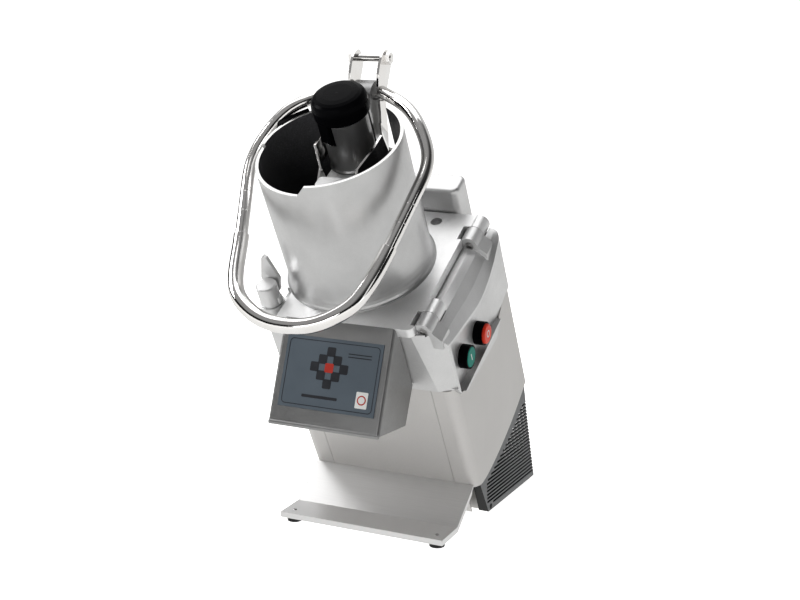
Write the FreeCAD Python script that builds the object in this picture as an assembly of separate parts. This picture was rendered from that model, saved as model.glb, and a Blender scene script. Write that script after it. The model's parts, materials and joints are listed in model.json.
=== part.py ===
import FreeCAD, Part
import math
import os

# Countertop vegetable dicer: a belt driven cutting disc in a cast base that leans towards the
# user, a hinged feed head with a large hopper, an outlet hood, a bail lever that lifts the pusher
# plate, and a small round plunger in its own tube.
# Machine frame: x across (right positive), y back along the lid, z up along the drive shaft.
# The machine frame leans forward about x and stands JOINT_HEIGHT above the floor. Millimetres.

LEAN = 30.0
JOINT_HEIGHT = 50.9
GAP = 0.3

# body
BODY_HALF = 115.0
BODY_BACK = 200.7
BODY_TOP = 162.0
SHEET = 2.0
SEAM_X = 84.5
PANEL_LOW = -53.0
CORNER_R = 15.0
FLOOR_CLEAR = 5.0

# base casting
CAST_HALF = 118.0
CAST_TOP = 249.0
CAST_BACK = 203.0
CAST_WALL = 6.0
CHAMBER_FLOOR = 200.0
CHAMBER_R = 89.0
PANEL_X = 108.0

# feed head
SHAFT_X = -24.0
SHAFT_Y = 99.0
LID_LOW = 251.0
LID_TOP = 263.0
HOPPER_R = 88.0
HOPPER_WALL = 4.0
RIM_TOP = 442.0
RIM_STEP = 12.0
HEAD_X = -8.0
HOOD_HALF = 72.0
HOOD_WALL = 3.5
HOOD_ROUND = 4.0
HOOD_TOP_Y = -7.0
HOOD_LOW_Y = -102.0
HOOD_LOW_Z = 183.5
HINGE_X = 91.0
HINGE_Z = 252.0
HINGE_R = 11.5
HINGE_STARTS = (3.0, 161.0)
KNUCKLE = 24.0
PIN_R = 4.0

# lever
PIVOT_Y = 210.0
PIVOT_Z = 430.0
PIVOT_R = 3.6
CROSS_Y = 240.5
CROSS_Z = 464.5
STUD_Y = 101.0
STUD_Z = 373.0
STUD_R = 5.0
PLATE_T = 3.0
PLATE_IN = 17.0
ARM_IN = 36.5
ARM_END_IN = 22.4
BAIL_R = 7.5
GRIP_R = 9.2

# pusher
PUSHER_R = 83.0
PUSHER_LOW = 256.0
BLOCK_LOW = 362.0
BLOCK_HALF = 22.0
BLOCK_TOP = 383.0
TUBE_Y = 146.0
TUBE_R = 28.5
TUBE_BORE = 26.5
TUBE_TOP = 447.0
CAP_R = 33.7
CAP_TOP = 477.5

# drive
SHAFT_R = 9.0
DISC_R = 86.0
MOTOR_X = 50.0
MOTOR_Y = 118.0
MOTOR_R = 50.0
BELT_Z = 128.0
BELT_W = 14.0
SHAFT_PULLEY_R = 42.0
MOTOR_PULLEY_R = 15.0

# lock and buttons
KNOB_X = -112.0
KNOB_Y = 20.0
KNOB_R = 13.0
BUTTON_FACE_X = 120.0
BUTTONS = {"start": (52.0, 173.0), "stop": (101.0, 166.5)}
BUTTON_R = 12.4
BUTTON_TRAVEL = 4.0

X = FreeCAD.Vector(1, 0, 0)
Y = FreeCAD.Vector(0, 1, 0)
Z = FreeCAD.Vector(0, 0, 1)


def vec(x, y, z):
    return FreeCAD.Vector(x, y, z)


def box(x0, x1, y0, y1, z0, z1):
    return Part.makeBox(x1 - x0, y1 - y0, z1 - z0, vec(x0, y0, z0))


def rod(point, axis, radius, length):
    return Part.makeCylinder(radius, length, point, axis)


def ring(point, axis, outer, inner, length):
    return rod(point, axis, outer, length).cut(rod(point - axis, axis, inner, length + 2))


def face_of(points):
    return Part.Face(Part.makePolygon(points + [points[0]]))


def prism_x(points, x0, x1):
    """Solid with a (y, z) outline between two x values."""
    return face_of([vec(x0, y, z) for y, z in points]).extrude(vec(x1 - x0, 0, 0))


def prism_y(points, y0, y1):
    return face_of([vec(x, y0, z) for x, z in points]).extrude(vec(0, y1 - y0, 0))


def prism_z(points, z0, z1):
    return face_of([vec(x, y, z0) for x, y in points]).extrude(vec(0, 0, z1 - z0))


def turned(points, x, y):
    """Solid of revolution about the upright line at (x, y) from (radius, z) points."""
    face = face_of([vec(x + r, y, z) for r, z in points])
    return face.revolve(vec(x, y, 0), Z, 360)


def join(shapes):
    result = shapes[0]
    for shape in shapes[1:]:
        result = result.fuse(shape)
    return result.removeSplitter()


def group(shapes):
    return Part.makeCompound(shapes)


def upright_edges(shape, corners, tol=1.0):
    """Edges along z that stand over one of the (x, y) corners."""
    found = []
    for edge in shape.Edges:
        a = edge.Vertexes[0].Point
        b = edge.Vertexes[-1].Point
        if abs(a.z - b.z) < 1:
            continue
        if any(abs(a.x - cx) < tol and abs(a.y - cy) < tol for cx, cy in corners):
            found.append(edge)
    return found


def round_slab(x0, x1, y0, y1, z0, z1, radius):
    slab = box(x0, x1, y0, y1, z0, z1)
    corners = [(x0, y0), (x0, y1), (x1, y0), (x1, y1)]
    return slab.makeFillet(radius, upright_edges(slab, corners))


def place(x, y, z):
    """A machine frame point in the floor frame."""
    a = math.radians(LEAN)
    up = JOINT_HEIGHT + y * math.sin(a) + z * math.cos(a)
    return vec(x, y * math.cos(a) - z * math.sin(a), up)


def leaned(shape):
    shape = shape.copy()
    shape.rotate(vec(0, 0, 0), X, LEAN)
    shape.translate(vec(0, 0, JOINT_HEIGHT))
    return shape


# ---- stand and body sheet work, floor frame for the flat pieces ----

APRON_HALF = 110.0
APRON_TOP = [(-98.8, 13.5), (-51.7, 13.5), (0.0, JOINT_HEIGHT)]
FOOT_X = 97.2
FRONT_FOOT_Y = -84.3
REAR_FOOT = (103.0, 171.0)
FOOT_R = 10.8


def apron_plate():
    """Bent front apron with a folded hem along its front and sides."""
    under = [(1.27, 48.7), (-51.0, 11.3), (-98.8, 11.3)]
    plate = prism_x(APRON_TOP + under, -APRON_HALF, APRON_HALF)
    hem = [(-98.8, 13.5), (-51.7, 13.5), (-4.0, 48.0), (-4.0, 40.5), (-49.5, 6.5), (-98.8, 6.5)]
    parts = [plate]
    for x0 in (-APRON_HALF, APRON_HALF - 1.6):
        parts.append(prism_x(hem, x0, x0 + 1.6))
    parts.append(box(-APRON_HALF, APRON_HALF, -98.8, -97.2, 6.5, 13.5))
    plate = join(parts)
    for x in (-FOOT_X, FOOT_X):
        plate = plate.cut(rod(vec(x, FRONT_FOOT_Y, 0), Z, 2.6, 30))
    return plate


def foot(x, y, height):
    rubber = Part.makeCone(FOOT_R - 1.5, FOOT_R, height, vec(x, y, 0), Z)
    return rubber.cut(rod(vec(x, y, 1.5), Z, 2.4, height))


def feet_front():
    return group([foot(x, FRONT_FOOT_Y, 11.2) for x in (-FOOT_X, FOOT_X)])


def feet_rear():
    x, y = REAR_FOOT
    return group([foot(side * x, y, FLOOR_CLEAR - 0.1) for side in (-1, 1)])


def foot_screws():
    """Pan head screws that hold the front feet."""
    screws = []
    for x in (-FOOT_X, FOOT_X):
        head = Part.makeCone(2.9, 2.0, 0.9, vec(x, FRONT_FOOT_Y, 13.6), Z)
        shank = rod(vec(x, FRONT_FOOT_Y, 4.0), Z, 2.2, 9.7)
        screws.append(head.fuse(shank))
    return group(screws)


def floor_tray():
    """Bottom closing sheet with a folded edge."""
    tray = box(-110, 110, 41, 191, FLOOR_CLEAR, FLOOR_CLEAR + 2)
    tray = tray.fuse(box(-103, 103, 41, 43, FLOOR_CLEAR + 2, FLOOR_CLEAR + 46))
    tray = tray.fuse(box(-110, 110, 189, 191, FLOOR_CLEAR + 2, FLOOR_CLEAR + 12))
    for side in (-1, 1):
        tray = tray.cut(rod(vec(side * REAR_FOOT[0], REAR_FOOT[1], 0), Z, 2.4, 20))
    return tray.removeSplitter()


# Lower edge of the body's side sheets, as (y, z): it sags a little in the middle.
SIDE_EDGE = [(-2.0, -5.0), (9.0, -9.0), (30.0, -14.5), (60.0, -17.5), (115.0, -17.3), (150.0, -14.0),
             (180.0, -9.0), (BODY_BACK + 1, -4.8)]


def under_edge(drop, x0, x1):
    """Everything below the side sheets' lower edge, less a drop, between two x values."""
    curve = Part.BSplineCurve()
    curve.interpolate([vec(x0, y, z - drop) for y, z in SIDE_EDGE])
    a = curve.StartPoint
    b = curve.EndPoint
    far = [b, vec(x0, 400, b.z), vec(x0, 400, -260), vec(x0, -100, -260), vec(x0, -100, a.z), a]
    wire = Part.Wire([curve.toShape()] + Part.makePolygon(far).Edges)
    return Part.Face(wire).extrude(vec(x1 - x0, 0, 0))


SKIRT = [(4.0, 165.0), (12.0, 150.0), (30.0, 140.5), (131.0, 131.0), (190.0, 165.0)]


def body_shell():
    """Folded sheet round the sides, the back and both front corners."""
    low = PANEL_LOW
    outer = box(-BODY_HALF, BODY_HALF, 0, BODY_BACK, low, BODY_TOP - GAP)
    fronts = [(-BODY_HALF, 0), (BODY_HALF, 0)]
    outer = outer.makeFillet(CORNER_R, upright_edges(outer, fronts))
    backs = [(-BODY_HALF, BODY_BACK), (BODY_HALF, BODY_BACK)]
    outer = outer.makeFillet(8.0, upright_edges(outer, backs))
    inside = box(-BODY_HALF + SHEET, BODY_HALF - SHEET, SHEET, BODY_BACK - SHEET, low - 1, 170)
    fronts = [(-BODY_HALF + SHEET, SHEET), (BODY_HALF - SHEET, SHEET)]
    inside = inside.makeFillet(CORNER_R - SHEET, upright_edges(inside, fronts))
    backs = [(-BODY_HALF + SHEET, BODY_BACK - SHEET), (BODY_HALF - SHEET, BODY_BACK - SHEET)]
    inside = inside.makeFillet(6.0, upright_edges(inside, backs))
    shell = outer.cut(inside)
    shell = shell.cut(box(-SEAM_X, SEAM_X, -1, SHEET + 1, low - 1, 170))
    below = box(-130, 130, 9, 210, low - 2, 0)
    for side in (-1, 1):
        x0, x1 = sorted((side * 98.0, side * 130.0))
        below = below.fuse(box(x0, x1, -5, 10, low - 2, 0))
    shell = shell.cut(under_edge(0, -130, 130).common(below))
    shell = shell.cut(prism_x([(y, z - GAP) for y, z in SKIRT], 100, 130))
    return shell.removeSplitter()


def front_panel():
    half = SEAM_X - 0.4
    panel = box(-half, half, 0, SHEET, PANEL_LOW, BODY_TOP - GAP)
    returns = []
    for x in (-half, half - SHEET):
        returns.append(box(x, x + SHEET, SHEET, 12, PANEL_LOW, BODY_TOP - GAP))
    return join([panel] + returns)


VENT_ROWS = 22
VENT_LOW = 12.2
VENT_PITCH = 4.72
VENT_SLOT = 2.7
VENT_HALF = 113.6
VENT_FLARE = 0.065


def vent_outline(inset):
    """Solid of the rear lower cover: flush with the sheets above, wider towards the floor."""
    front_top = place(0, 9.4, 10)
    back_top = place(0, BODY_BACK - 0.4 - inset, 10)
    outline = [(front_top.y + inset, front_top.z), (back_top.y, back_top.z),
               (200.8 - inset, FLOOR_CLEAR), (36.5 + inset, FLOOR_CLEAR)]
    solid = prism_x(outline, -140, 140)
    half = VENT_HALF - inset
    wide = half + VENT_FLARE * 260
    flare = leaned(prism_y([(-half, 0), (half, 0), (wide, -260), (-wide, -260)], -100, 400))
    solid = solid.common(flare)
    backs = [e for e in solid.Edges if e.Length > 100 and e.BoundBox.YMin > 160 and e.BoundBox.ZLength > 50]
    solid = solid.makeFillet(6.0, backs)
    return solid.common(leaned(under_edge(0.5, -150, 150)))


def slot_start(z):
    """Front end of the level slot at height z, just inside the cover's slanting upper edge."""
    if z < 16:
        return 52.0
    share = max(0.0, (z - 43.7) / 69.5)
    return 33.5 + 127.3 * share + 10.5 * math.sin(math.pi * share)


def vent_cover():
    """Moulded rear lower cover with level slots round both back corners."""
    wall = 3.0
    inner = vent_outline(wall)
    low = inner.copy()
    low.translate(vec(0, 0, -wall - 1))
    opening = box(-104, 104, -20, 60, 0, 100)
    cover = vent_outline(0).cut(inner).cut(low).cut(opening)
    for row in range(VENT_ROWS):
        z = VENT_LOW + row * VENT_PITCH
        for side in (-1, 1):
            a = sorted((side * 78.0, side * 140.0))
            cover = cover.cut(box(a[0], a[1], slot_start(z), 230, z, z + VENT_SLOT))
    for row in range(0, VENT_ROWS, 2):
        z = VENT_LOW + row * VENT_PITCH
        cover = cover.cut(box(-60, 60, 160, 230, z, z + VENT_SLOT))
    return cover


def vent_screws():
    """Domeless screw heads near the front lower corners of the vent cover."""
    screws = []
    cover = vent_cover()
    for side in (-1, 1):
        start = vec(side * (VENT_HALF + 0.6), 44.5, 9.5)
        screws.append(rod(start, vec(side, 0, 0), 3.6, 3.4).cut(cover))
    return group(screws)


# ---- base casting ----

# Edge of the right cheek, above the button recess, as (y, z): it dips in the middle.
CHEEK = [(-14.0, 240.0), (6.0, 233.0), (33.0, 226.0), (61.0, 220.5), (83.0, 215.5), (107.0, 212.5),
         (127.0, 214.0), (148.0, 219.0), (166.0, 226.0), (190.0, 240.0), (214.0, 246.0)]


def above_cheek():
    """Space over the right cheek, which falls in a smooth curve from the lid to its edge."""
    sections = []
    for y, z in CHEEK:
        fall = CAST_TOP - z
        profile = [(92, CAST_TOP + 4), (92, CAST_TOP), (101, CAST_TOP - 0.16 * fall),
                   (110, CAST_TOP - 0.52 * fall), (118.3, z), (126, z - 6), (126, CAST_TOP + 4)]
        sections.append(Part.makePolygon([vec(px, y, pz) for px, pz in profile + profile[:1]]))
    return Part.makeLoft(sections, True, False)


def casting_block():
    """Outer block: its front corners are drafted and its shoulders slope to the sides."""
    def outline(seam, z):
        pts = [(-CAST_HALF, 7), (-seam, -1.5), (seam, -1.5), (CAST_HALF, 7),
               (CAST_HALF, CAST_BACK), (-CAST_HALF, CAST_BACK)]
        return Part.makePolygon([vec(x, y, z) for x, y in pts + pts[:1]])
    block = Part.makeLoft([outline(95, BODY_TOP), outline(77, CAST_TOP)], True, True)
    backs = [(-CAST_HALF, CAST_BACK), (CAST_HALF, CAST_BACK)]
    block = block.makeFillet(12.0, upright_edges(block, backs))
    slope = [(-100, CAST_TOP + 1), (-100, CAST_TOP), (-104, 247.6), (-110, 243.4), (-115, 237.6),
             (-118.2, 231.0), (-125, 231), (-125, CAST_TOP + 1)]
    return block.cut(prism_y(slope, -10, 220)).cut(above_cheek())


def top_casting():
    """Base casting: disc chamber, outlet mouth, hinge knuckles, knob lug and button recess."""
    block = casting_block()
    skirt = prism_x(SKIRT, 98, CAST_HALF)
    block = block.fuse(skirt)
    hollow = box(-CAST_HALF + CAST_WALL, 94, 5.5, CAST_BACK - CAST_WALL, 100, CHAMBER_FLOOR - 6)
    block = block.cut(hollow)
    block = block.cut(box(93, 99, 20, 180, 100, CHAMBER_FLOOR - 6))
    chamber = rod(vec(SHAFT_X, SHAFT_Y, CHAMBER_FLOOR), Z, CHAMBER_R, 80)
    mouth_half = HOOD_HALF - HOOD_WALL - 3
    mouth = box(HEAD_X - mouth_half, HEAD_X + mouth_half, -10, 60, CHAMBER_FLOOR, 270)
    block = block.cut(chamber).cut(mouth)
    recess = prism_z([(PANEL_X, 12), (PANEL_X, 128), (CAST_HALF + 0.2, 188), (140, 188), (140, 12)],
                     144.0, 260.0)
    below_cheek = [(y, z - 3.5) for y, z in CHEEK[1:-1]] + [(190, 140), (6, 140)]
    block = block.cut(recess.common(prism_x(below_cheek, 100, 140)))
    block = block.cut(rod(vec(SHAFT_X, SHAFT_Y, 100), Z, 24.0, 120))
    parts = [block]
    for start in HINGE_STARTS:
        parts.append(rod(vec(HINGE_X, start, HINGE_Z), Y, HINGE_R, KNUCKLE - 0.4))
        web = [(HINGE_X - HINGE_R, HINGE_Z), (HINGE_X + HINGE_R, HINGE_Z),
               (HINGE_X + 22, CAST_TOP - 8), (HINGE_X + 22, CAST_TOP - 20),
               (HINGE_X - HINGE_R, CAST_TOP - 20)]
        parts.append(prism_y(web, start, start + KNUCKLE - 0.4))
    lug = rod(vec(KNOB_X, KNOB_Y, 225), Z, KNOB_R + 2.5, 33)
    parts.append(lug.fuse(box(KNOB_X, KNOB_X + 13, 6, 40, 225, CAST_TOP)))
    solid = join(parts)
    for start in HINGE_STARTS:
        low = start + KNUCKLE - 0.4
        solid = solid.cut(rod(vec(HINGE_X, low, HINGE_Z), Y, HINGE_R + 1.0, KNUCKLE + 1.0))
        solid = solid.cut(rod(vec(HINGE_X, start - 1, HINGE_Z), Y, PIN_R + 0.02, 60))
        solid = solid.cut(rod(vec(HINGE_X, start - 1, HINGE_Z), Y, PIN_R + 2.4, 3.5))
    solid = solid.cut(rod(vec(KNOB_X, KNOB_Y, 232), Z, 5.0, 60))
    for y, z in BUTTONS.values():
        solid = solid.cut(rod(vec(80, y, z), X, 8.6, 60))
    return solid


def hinge_pins():
    pins = []
    for start in HINGE_STARTS:
        pins.append(rod(vec(HINGE_X, start + 1.2, HINGE_Z), Y, PIN_R, 2 * KNUCKLE - 2.4))
    return group(pins)


def rear_housing():
    """Cast cover on the back of the base for the switch and the cable inlet."""
    block = round_slab(-66, 66, 210, 246, 205, 296, 10.0)
    edges = [e for e in block.Edges if e.BoundBox.ZMin > 295.9]
    block = block.makeFillet(5.0, edges)
    block = block.fuse(box(-66, 66, CAST_BACK + 0.1, 222, 205, CAST_TOP)).removeSplitter()
    return block.cut(box(-60, 60, 214, 240, 200, 290)).cut(box(-60, 60, CAST_BACK - 1, 230, 200, 244))


def lock_post():
    return rod(vec(KNOB_X, KNOB_Y, 232.0), Z, 4.95, 38.0)


def safety_switch():
    return box(-59.9, -30, 216, 236, 240, 262).fuse(rod(vec(-45, 226, 262), Z, 5.0, 10))


# ---- push buttons ----

def button_parts(name):
    y, z = BUTTONS[name]
    collar = ring(vec(PANEL_X + 0.05, y, z), X, 14.6, BUTTON_R + 0.35, 11.4)
    flange = ring(vec(PANEL_X + 0.05, y, z), X, 14.6, 7.0, 2.0)
    bezel = collar.fuse(flange).removeSplitter()
    face_x = BUTTON_FACE_X + (3.0 if name == "stop" else 0.0)
    back_x = PANEL_X + 2.05 + BUTTON_TRAVEL + 0.25
    cap = rod(vec(back_x, y, z), X, BUTTON_R, face_x - back_x)
    edges = [e for e in cap.Edges if e.BoundBox.XMin > face_x - 0.1]
    cap = cap.makeFillet(1.0 if name == "start" else 2.2, edges)
    stem = rod(vec(93.0, y, z), X, 5.0, back_x - 92.0)
    return bezel, cap.fuse(stem)


def contact_blocks():
    blocks = []
    for y, z in BUTTONS.values():
        blocks.append(box(66, 88.0, y - 10, y + 10, z - 12, z + 12))
    return group(blocks)


def button_boots():
    """Rubber bellows behind the buttons: they push the caps back out."""
    boots = []
    for y, z in BUTTONS.values():
        outer = [(94.0 + 2 * i, 7.4 if i % 2 else 6.2) for i in range(7)]
        inner = [(x, radius - 1.0) for x, radius in reversed(outer)]
        face = face_of([vec(x, y + radius, z) for x, radius in outer + inner])
        boots.append(face.revolve(vec(0, y, z), X, 360))
    return group(boots)


# ---- drive ----

def motor_plate():
    plate = box(-106, 106, 14, 190, 112, 116)
    plate = plate.cut(rod(vec(SHAFT_X, SHAFT_Y, 100), Z, 30, 30))
    plate = plate.cut(rod(vec(MOTOR_X, MOTOR_Y, 100), Z, 20, 30))
    posts = []
    for x in (-104, 84):
        for y in (24, 180):
            posts.append(box(x, x + 8, y - 5, y + 5, 116, CHAMBER_FLOOR - 6.1))
    return join([plate] + posts)


def bearing_housing():
    flange = ring(vec(SHAFT_X, SHAFT_Y, 188), Z, 40, 23.9, 5.9)
    sleeve = ring(vec(SHAFT_X, SHAFT_Y, 148), Z, 23.9, 20.0, 57.0)
    return flange.fuse(sleeve).removeSplitter()


def shaft_bearings():
    rings = [ring(vec(SHAFT_X, SHAFT_Y, z), Z, 19.97, SHAFT_R + 0.04, 11.0) for z in (149.0, 190.0)]
    return group(rings)


def shaft_seal():
    return ring(vec(SHAFT_X, SHAFT_Y, 202.0), Z, 19.97, SHAFT_R + 0.1, 3.0)


def drive_shaft():
    shaft = rod(vec(SHAFT_X, SHAFT_Y, 120.0), Z, SHAFT_R, 128.0)
    flat = box(SHAFT_X + 6.5, SHAFT_X + 12, SHAFT_Y - 12, SHAFT_Y + 12, 212.0, 249.0)
    return shaft.cut(flat)


def pulley(x, y, radius, bore):
    z = BELT_Z - BELT_W / 2
    profile = [(bore, z - 3), (radius + 2, z - 3), (radius + 2, z - 1), (radius, z),
               (radius, z + BELT_W), (radius + 2, z + BELT_W + 1), (radius + 2, z + BELT_W + 3),
               (bore, z + BELT_W + 3)]
    return turned(profile, x, y)


def shaft_pulley():
    wheel = pulley(SHAFT_X, SHAFT_Y, SHAFT_PULLEY_R, SHAFT_R)
    for i in range(5):
        a = math.radians(72 * i)
        hole = vec(SHAFT_X + 26 * math.cos(a), SHAFT_Y + 26 * math.sin(a), 100)
        wheel = wheel.cut(rod(hole, Z, 8.0, 60))
    return wheel


def motor_pulley():
    return pulley(MOTOR_X, MOTOR_Y, MOTOR_PULLEY_R, 7.0)


def belt_outline(grow):
    dx = MOTOR_X - SHAFT_X
    dy = MOTOR_Y - SHAFT_Y
    span = math.hypot(dx, dy)
    big = SHAFT_PULLEY_R + grow
    small = MOTOR_PULLEY_R + grow
    lean = math.asin((big - small) / span)
    along = math.degrees(math.atan2(dy, dx))
    straight = math.sqrt(span ** 2 - (big - small) ** 2)
    z0 = BELT_Z - BELT_W / 2 + 1
    parts = [rod(vec(0, 0, z0), Z, big, BELT_W - 2), rod(vec(span, 0, z0), Z, small, BELT_W - 2)]
    s, c = math.sin(lean), math.cos(lean)
    quad = [(big * s, big * c), (big * s + straight * c, big * c - straight * s)]
    quad += [(x, -y) for x, y in reversed(quad)]
    parts.append(prism_z(quad, z0, z0 + BELT_W - 2))
    shape = join(parts)
    shape.rotate(vec(0, 0, 0), Z, along)
    shape.translate(vec(SHAFT_X, SHAFT_Y, 0))
    return shape


def drive_belt():
    return belt_outline(3.4).cut(belt_outline(0.4))


def motor_body():
    """Finned induction motor that hangs under the motor plate."""
    body = rod(vec(MOTOR_X, MOTOR_Y, 8.0), Z, MOTOR_R - 4, 100.0)
    fins = [body]
    for i in range(20):
        fin = box(MOTOR_R - 6, MOTOR_R, -1.2, 1.2, 18.0, 96.0)
        fin.rotate(vec(0, 0, 0), Z, 18 * i)
        fin.translate(vec(MOTOR_X, MOTOR_Y, 0))
        fins.append(fin)
    body = join(fins)
    flange = rod(vec(MOTOR_X, MOTOR_Y, 108.0), Z, MOTOR_R - 2, 3.9)
    body = body.fuse(flange)
    return body.cut(rod(vec(MOTOR_X, MOTOR_Y, 0), Z, 7.6, 140)).removeSplitter()


def motor_bolts():
    bolts = []
    for i in range(4):
        a = math.radians(45 + 90 * i)
        spot = vec(MOTOR_X + 34 * math.cos(a), MOTOR_Y + 34 * math.sin(a), 116.05)
        bolts.append(Part.makeCone(5.5, 4.5, 4.0, spot, Z))
    return group([b for b in bolts if b.BoundBox.XMin > SHAFT_X + 50])


def motor_shaft():
    return rod(vec(MOTOR_X, MOTOR_Y, 2.0), Z, 7.0, 138.0)


def motor_fan():
    hub = ring(vec(MOTOR_X, MOTOR_Y, -5.5), Z, 12, 6.99, 11.0)
    blades = [hub]
    for i in range(7):
        blade = box(10, 40, -1, 1, -5.0, 5.0)
        blade.rotate(vec(0, 0, 0), Z, 360.0 / 7 * i)
        blade.translate(vec(MOTOR_X, MOTOR_Y, 0))
        blades.append(blade)
    return join(blades)


def electric_box():
    base = round_slab(-100, -36, 30, 84, 20, 100, 4.0)
    return base.fuse(box(-90, -46, 26, 30, 40, 80)).removeSplitter()


# ---- cutting set ----

def ejector_plate():
    """Plate with two vanes that throws the cut food out of the chamber."""
    plate = ring(vec(SHAFT_X, SHAFT_Y, 208), Z, DISC_R - 2, SHAFT_R + 0.0, 4.0)
    hub = ring(vec(SHAFT_X, SHAFT_Y, 206), Z, 18, SHAFT_R, 18.0)
    parts = [plate, hub]
    for turn in (0, 180):
        vane = box(16, DISC_R - 6, -2.5, 2.5, 211.5, 224.0)
        vane.rotate(vec(0, 0, 0), Z, turn + 35)
        vane.translate(vec(SHAFT_X, SHAFT_Y, 0))
        parts.append(vane)
    return join(parts)


def dicing_grid():
    """Fixed half ring of crossed bars under the slicing disc."""
    half = ring(vec(SHAFT_X, SHAFT_Y, 227), Z, CHAMBER_R - 0.05, 20, 8)
    front = box(SHAFT_X - 100, SHAFT_X + 100, SHAFT_Y - 100, SHAFT_Y - 2, 220, 240)
    half = half.common(front)
    frame = half.cut(ring(vec(SHAFT_X, SHAFT_Y, 226), Z, CHAMBER_R - 5, 25, 10).common(
        box(SHAFT_X - 100, SHAFT_X + 100, SHAFT_Y - 100, SHAFT_Y - 7, 220, 240)))
    bars = []
    for i in range(-6, 7):
        bars.append(box(SHAFT_X + 12.5 * i - 0.8, SHAFT_X + 12.5 * i + 0.8, 0, SHAFT_Y - 3, 227.5, 234))
    for i in range(1, 7):
        y = SHAFT_Y - 4 - 12.5 * i
        bars.append(box(SHAFT_X - 88, SHAFT_X + 88, y - 0.8, y + 0.8, 227.5, 234))
    lattice = join(bars).common(half)
    return join([frame, lattice])


def cutting_disc():
    disc = ring(vec(SHAFT_X, SHAFT_Y, 239), Z, DISC_R, SHAFT_R, 4.0)
    hub = ring(vec(SHAFT_X, SHAFT_Y, 236), Z, 15, SHAFT_R, 11.0)
    slot = box(20, DISC_R - 6, -9, -1, 230, 250)
    slot.translate(vec(SHAFT_X, SHAFT_Y, 0))
    return disc.fuse(hub).cut(slot).removeSplitter()


def disc_blade():
    blade = prism_x([(-3, 243.1), (12, 243.1), (12, 244.6), (3, 246.6), (-3, 245.2)], 21, DISC_R - 8)
    blade.translate(vec(SHAFT_X, SHAFT_Y, 0))
    return blade


# ---- feed head ----

def lid_plate():
    """Lid with the hopper bore, its hinge knuckles and a relief for each base knuckle."""
    slab = round_slab(-97, 84, HOOD_TOP_Y, 208, LID_LOW, LID_TOP, 8.0)
    disc = rod(vec(SHAFT_X, SHAFT_Y, LID_LOW), Z, 95.0, LID_TOP - LID_LOW)
    parts = [slab, disc]
    for start in HINGE_STARTS:
        low = start + KNUCKLE + 0.2
        high = low + KNUCKLE - 0.8
        parts.append(rod(vec(HINGE_X, low, HINGE_Z), Y, HINGE_R, KNUCKLE - 0.8))
        parts.append(box(70, HINGE_X, low, high, LID_LOW, LID_TOP))
    parts.append(round_slab(70, HINGE_X - 1, 195, 208, LID_LOW, LID_TOP, 4.0))
    solid = join(parts)
    solid = solid.cut(rod(vec(SHAFT_X, SHAFT_Y, 200), Z, HOPPER_R - HOPPER_WALL, 100))
    for start in HINGE_STARTS:
        solid = solid.cut(box(HINGE_X - HINGE_R - 1.0, 120, start - 1.2, start + KNUCKLE, 230, 280))
        solid = solid.cut(rod(vec(HINGE_X, 0, HINGE_Z), Y, PIN_R + 0.05, 300))
    lug_clear = rod(vec(KNOB_X, KNOB_Y, 240), Z, KNOB_R + 3.6, 40)
    solid = solid.cut(lug_clear).cut(box(-130, -91.0, -20, 42, 240, 280))
    boss = Part.makeSphere(9.0, vec(40, 190, LID_TOP - 5.5))
    solid = solid.cut(boss)
    return solid.removeSplitter()


def feed_cylinder():
    """Hopper wall: flared foot, stepped rim, and two rear slots for the lever arms."""
    outer = [(HOPPER_R - HOPPER_WALL, LID_TOP + 0.05), (92.4, LID_TOP + 0.05), (92.2, LID_TOP + 1.0),
             (90.6, LID_TOP + 2.6), (89.4, LID_TOP + 5.2), (88.7, LID_TOP + 9.0),
             (88.2, LID_TOP + 15.0), (HOPPER_R, LID_TOP + 24.0), (HOPPER_R, RIM_TOP),
             (HOPPER_R - HOPPER_WALL, RIM_TOP)]
    wall = turned(outer, SHAFT_X, SHAFT_Y)
    low = RIM_TOP - RIM_STEP
    step = [(SHAFT_X - 120, low), (SHAFT_X - 2, low), (SHAFT_X + 9, RIM_TOP + 0.5),
            (SHAFT_X + 9, RIM_TOP + 10), (SHAFT_X - 120, RIM_TOP + 10)]
    wall = wall.cut(prism_y(step, SHAFT_Y - 120, SHAFT_Y))
    rear = RIM_TOP - 7.0
    slope = [(SHAFT_Y - 70, low), (SHAFT_Y + 20, rear), (SHAFT_Y + 120, rear),
             (SHAFT_Y + 120, RIM_TOP + 10), (SHAFT_Y - 70, RIM_TOP + 10)]
    wall = wall.cut(prism_x(slope, SHAFT_X - 120, SHAFT_X - 10))
    for side in (-1, 1):
        a = sorted((SHAFT_X + side * 14.0, SHAFT_X + side * 43.0))
        wall = wall.cut(box(a[0], a[1], SHAFT_Y + 30, SHAFT_Y + 120, 378.0, RIM_TOP + 20))
    return wall.removeSplitter()


def rear_lug():
    """Rear bracket on the hopper that carries the lever pivot."""
    half = 13.0
    reach = 19.5
    foot_y = SHAFT_Y + 84.0
    web = prism_x([(foot_y, 300), (foot_y + 9, 300), (PIVOT_Y + 17, PIVOT_Z - 10),
                   (PIVOT_Y, PIVOT_Z), (foot_y, PIVOT_Z + 4)], SHAFT_X - half, SHAFT_X + half)
    eye = rod(vec(SHAFT_X - half, PIVOT_Y, PIVOT_Z), X, reach, 2 * half)
    seat = rod(vec(SHAFT_X, SHAFT_Y, 250), Z, HOPPER_R + 0.05, 300)
    lug = join([web, eye]).cut(seat)
    return lug.cut(rod(vec(SHAFT_X - 20, PIVOT_Y, PIVOT_Z), X, PIVOT_R + 0.06, 40))


def hood_face_point(t, out):
    """Point a share t down the hood's front face and a distance out of it, as (y, z)."""
    dy = HOOD_LOW_Y - HOOD_TOP_Y
    dz = HOOD_LOW_Z - LID_TOP
    length = math.hypot(dy, dz)
    return (HOOD_TOP_Y + dy * t + dz / length * out, LID_TOP + dz * t - dy / length * out)


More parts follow.
